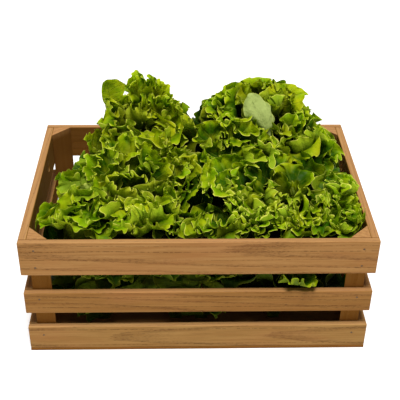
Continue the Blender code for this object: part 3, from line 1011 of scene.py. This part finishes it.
# %% Cut stems
def cut_stem_material():
    """Pale stringy flesh, stained where it has dried."""
    material, tree = new_material("cut_stem")
    place = add(tree, "TexCoord", output="Object")
    strands = noise(tree, mapped(tree, place, scale=(400.0, 400.0, 40.0)), 1.0, 2.0)
    stained = noise(tree, place, 160.0, 3.0).step(0.45, 0.70)
    milky = blend(tree, strands, (0.60, 0.66, 0.34), (0.42, 0.52, 0.18))
    finish_material(tree, add(tree, "BsdfPrincipled", {}, {
        "Base Color": blend(tree, stained * 0.5, milky, (0.30, 0.16, 0.06)),
        "Roughness": 0.45 + strands * 0.2,
        "Normal": bumped(tree, strands, 0.0006, 0.6),
    }))
    return material


STEM_RADIUS_LOW = 0.012
STEM_RADIUS_HIGH = 0.017
STEM_BELOW = 0.030
STEM_ABOVE = 0.045
stem_flesh = cut_stem_material()


def add_stem(name, stem, body, node):
    """A cut stem under a head, a little wider at the top, with shallow ridges where leaves came away."""
    bm = bmesh.new()
    bmesh.ops.create_cone(
        bm, cap_ends=True, segments=40, radius1=STEM_RADIUS_LOW, radius2=STEM_RADIUS_HIGH, depth=1.0
    )
    edges = [edge for edge in bm.edges if abs(edge.verts[0].co.z - edge.verts[1].co.z) > 0.5]
    bmesh.ops.subdivide_edges(bm, edges=edges, cuts=9)
    low, high = max(FLOOR + 0.002, stem[2] - STEM_BELOW), stem[2] + STEM_ABOVE
    for vertex in bm.verts:
        turn = atan2(vertex.co.y, vertex.co.x)
        ridge = 1 + 0.05 * sin(3 * turn + 14 * vertex.co.z) + 0.03 * sin(5 * turn - 9 * vertex.co.z)
        vertex.co.x = stem[0] + vertex.co.x * ridge
        vertex.co.y = stem[1] + vertex.co.y * ridge
        vertex.co.z = low + (high - low) * (vertex.co.z + 0.5)
    piece = new_object(name, bm)
    piece.data.shade_smooth()
    piece.data.materials.append(stem_flesh)
    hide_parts(node)
    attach(piece, body)


# %% [markdown]
# The leaves of a head are joined into a few pieces, none of them too heavy, and each piece rides on its
# head's body. Joining them all would make one huge piece, and keeping them apart would make hundreds.

# %% Pieces and heads
def add_piece(name, leaves, body, node=None):
    """Joins leaves into a piece that rides on a body, in the place of a node if one is named."""
    piece = joined([leaf_object(f"{name}_{index}", *leaf) for index, leaf in enumerate(leaves)], name)
    if node:
        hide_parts(node)
    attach(piece, body)
    triangles = sum(len(face.vertices) - 2 for face in piece.data.polygons)
    print(name, len(leaves), "leaves", triangles, "triangles")
    return triangles


# body, stem, spread along x and y, how many leaves, their width, kinds, tone, seed, leaves broken off
HEADS = (
    ("head_back_left", (-0.085, 0.066, 0.055), (0.085, 0.080), 20, 0.105,
     (WAVY, WAVY, CURLY), 0.72, 11, ()),
    ("head_back_right", (0.090, 0.066, 0.055), (0.110, 0.085), 21, 0.110,
     (WAVY, CURLY, PLAIN), 0.52, 12, (3,)),
    ("head_front_left", (-0.085, -0.050, 0.025), (0.120, 0.085), 22, 0.105,
     (WAVY, CURLY, PLAIN), 0.66, 13, (6,)),
    ("head_front_right", (0.110, -0.070, 0.025), (0.110, 0.080), 24, 0.100,
     (CURLY, CURLY, WAVY), 0.45, 14, (2,)),
)
HIGH_SKIRT = (0.020, 0.055)
LOW_SKIRT = (0.080, 0.130)
SKIRT_TONE = -0.1

total = 0
for body, stem, cell, number, width, kinds, tone, seed, missing in HEADS:
    node = body.replace("head_", "lettuce_")
    stem = np.array(stem)
    cell = np.array(cell)
    rng = np.random.default_rng(seed)
    skirt = skirt_leaves(rng, stem, cell, 9, HIGH_SKIRT, tone + SKIRT_TONE)
    skirt += skirt_leaves(rng, stem, cell, 7, LOW_SKIRT, tone + SKIRT_TONE)
    leaves = head_leaves(rng, stem, cell, number, width, kinds, tone, missing)
    half = len(leaves) // 2
    rng = np.random.default_rng(seed + 100)
    add_stem(f"{node}_cut_stem", stem, body, node)
    total += add_piece(f"{node}_skirt_leaves", skirt, body, node)
    total += add_piece(f"{node}_outer_leaves", leaves[:half], body, node)
    total += add_piece(f"{node}_inner_leaves", leaves[half:], body, node)
    total += add_piece(f"{node}_standing_leaves", standing_leaves(rng, body), body, node)
    if "front" in body:
        total += add_piece(f"{node}_front_row_leaves", front_row(rng, body, stem), body, node)
print(total, "triangles in the heads")

# %% [markdown]
# ## Loose leaves
#
# A few loose leaves lie at the bottom along the front. They show through the gaps between the slats, and
# one has pushed its frill out through the upper gap. The heads' own leaves could be pulled down that far,
# but they would catch behind the slats when a head is lifted, so these leaves belong to the crate.

# %% Loose leaves
LOOSE_FROM, LOOSE_TO, LOOSE_STEP = -0.185, 0.135, 0.034
LOW_LOOSE = (-0.130, -0.030, 0.005, 0.105)
SPILL_PLACE = (0.128, -0.109, 0.106)

rng = np.random.default_rng(41)
loose = []
for x in np.arange(LOOSE_FROM, LOOSE_TO, LOOSE_STEP):
    tip = (x + rng.uniform(-0.008, 0.008), -0.134, rng.uniform(0.112, 0.128))
    foot = (tip[0] + rng.uniform(-0.02, 0.02), -0.098, 0.045)
    frills = (PLAIN, WAVY, CURLY)[int(rng.integers(3))]
    points = placed_leaf(rng, foot, tip, radians(270), radians(30), 0.080, 0.05, frills, 0.9, MEDIUM)
    loose.append((points, rng.uniform(0.35, 0.65), 0.50))
for x in LOW_LOOSE:
    foot, tip = (x, -0.100, 0.010), (x, -0.135, 0.062)
    points = placed_leaf(rng, foot, tip, radians(270), radians(30), 0.060, 0.05, WAVY, 0.9, MEDIUM)
    loose.append((points, 0.45, 0.62))

# %% A frill through the upper gap
spill = stand(frilled_leaf(rng, ROWS, FINE, 0.050, 0.052, CURLY, 1.2), 0.050, 0.1, -0.3, 0.10)
spill = turned(spill, radians(270)) + SPILL_PLACE
slot_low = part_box("front_slat_middle")[1].z + WALL_GAP
slot_high = front_slat[0].z - WALL_GAP
slot_middle = (slot_low + slot_high) / 2
slot_half = (slot_high - slot_low) / 2
spill[..., 2] = slot_middle + slot_half * np.tanh((spill[..., 2] - slot_middle) / slot_half)
loose.append((spill, 0.62, 0.30))
total += add_piece("loose_leaves", loose, "crate")
print(total, "triangles of leaves")
